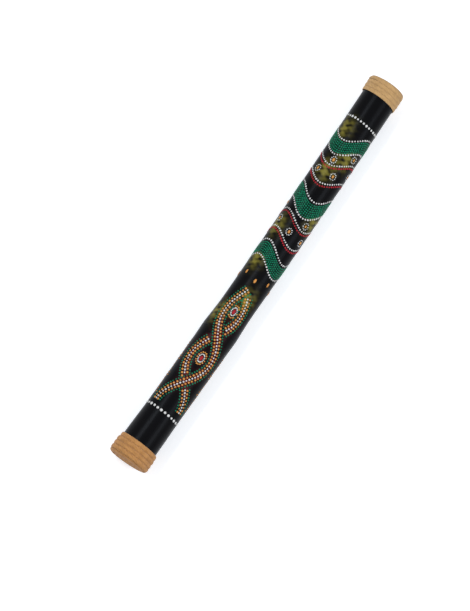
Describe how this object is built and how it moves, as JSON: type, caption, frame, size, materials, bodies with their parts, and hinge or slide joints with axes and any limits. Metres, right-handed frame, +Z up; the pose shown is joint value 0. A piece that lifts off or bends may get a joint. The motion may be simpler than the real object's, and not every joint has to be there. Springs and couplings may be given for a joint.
{
  "type": "rain stick",
  "caption": "Bamboo rain stick: a painted culm crossed by skewers, with loose grains that trickle past them, plugged ends and cord wound round each end.",
  "frame": {"origin": "on the surface that the stick lies on, under the middle of the stick", "axes": "+X along the culm from its thick foot to its thinner head, +Z up, +Y opposite to the side that the culm bows towards"},
  "size_m": [0.6104, 0.0584, 0.0578],
  "materials": {
    "black_lacquer": "bamboo under gloss black paint, with raised painted dots",
    "plug_wood": "bare turned wood",
    "foot_cord": "twisted natural fibre, warm tan",
    "head_cord": "twisted natural fibre, pale straw",
    "skewer": "bare split bamboo",
    "pebble": "matte rounded pebbles"
  },
  "bodies": {
    "root": {"culm": "black_lacquer", "foot_plug": "plug_wood", "head_plug": "plug_wood", "foot_cord_wrap": "foot_cord", "head_cord_wrap": "head_cord", "pin_01": "skewer", "pin_02": "skewer", "pin_03": "skewer", "pin_04": "skewer", "pin_05": "skewer", "pin_06": "skewer", "pin_07": "skewer", "pin_08": "skewer", "pin_09": "skewer", "pin_10": "skewer", "pin_11": "skewer", "pin_12": "skewer", "pin_13": "skewer", "pin_14": "skewer", "pin_15": "skewer", "pin_16": "skewer", "pin_17": "skewer", "pin_18": "skewer", "pin_19": "skewer", "pin_20": "skewer", "pin_21": "skewer", "pin_22": "skewer", "pin_23": "skewer", "pin_24": "skewer", "pin_25": "skewer", "pin_26": "skewer", "pin_27": "skewer", "pin_28": "skewer", "pin_29": "skewer", "pin_30": "skewer", "pin_31": "skewer", "pin_32": "skewer", "pin_33": "skewer", "pin_34": "skewer", "pin_35": "skewer", "pin_36": "skewer", "pin_37": "skewer", "pin_38": "skewer", "pin_39": "skewer", "pin_40": "skewer"},
    "pebble_1": {"grain_1": "pebble"},
    "pebble_2": {"grain_2": "pebble"},
    "pebble_3": {"grain_3": "pebble"},
    "pebble_4": {"grain_4": "pebble"},
    "pebble_5": {"grain_5": "pebble"},
    "pebble_6": {"grain_6": "pebble"},
    "pebble_7": {"grain_7": "pebble"}
  },
  "joints": [
    {"name": "grain_1_run", "type": "slide", "parent": "root", "child": "pebble_1", "axis": [1, 0, -0.0043], "range_m": [-0.5556, 0]},
    {"name": "grain_2_run", "type": "slide", "parent": "root", "child": "pebble_2", "axis": [1, 0, -0.0043], "range_m": [-0.46518, 0.09042]},
    {"name": "grain_3_run", "type": "slide", "parent": "root", "child": "pebble_3", "axis": [1, 0, -0.0043], "range_m": [-0.47811, 0.07749]},
    {"name": "grain_4_run", "type": "slide", "parent": "root", "child": "pebble_4", "axis": [1, 0, -0.0043], "range_m": [-0.49103, 0.06457]},
    {"name": "grain_5_run", "type": "slide", "parent": "root", "child": "pebble_5", "axis": [1, 0, -0.0043], "range_m": [-0.50395, 0.05165]},
    {"name": "grain_6_run", "type": "slide", "parent": "root", "child": "pebble_6", "axis": [1, 0, -0.0043], "range_m": [-0.51688, 0.03872]},
    {"name": "grain_7_run", "type": "slide", "parent": "root", "child": "pebble_7", "axis": [1, 0, -0.0043], "range_m": [-0.5298, 0.0258]}
  ]
}
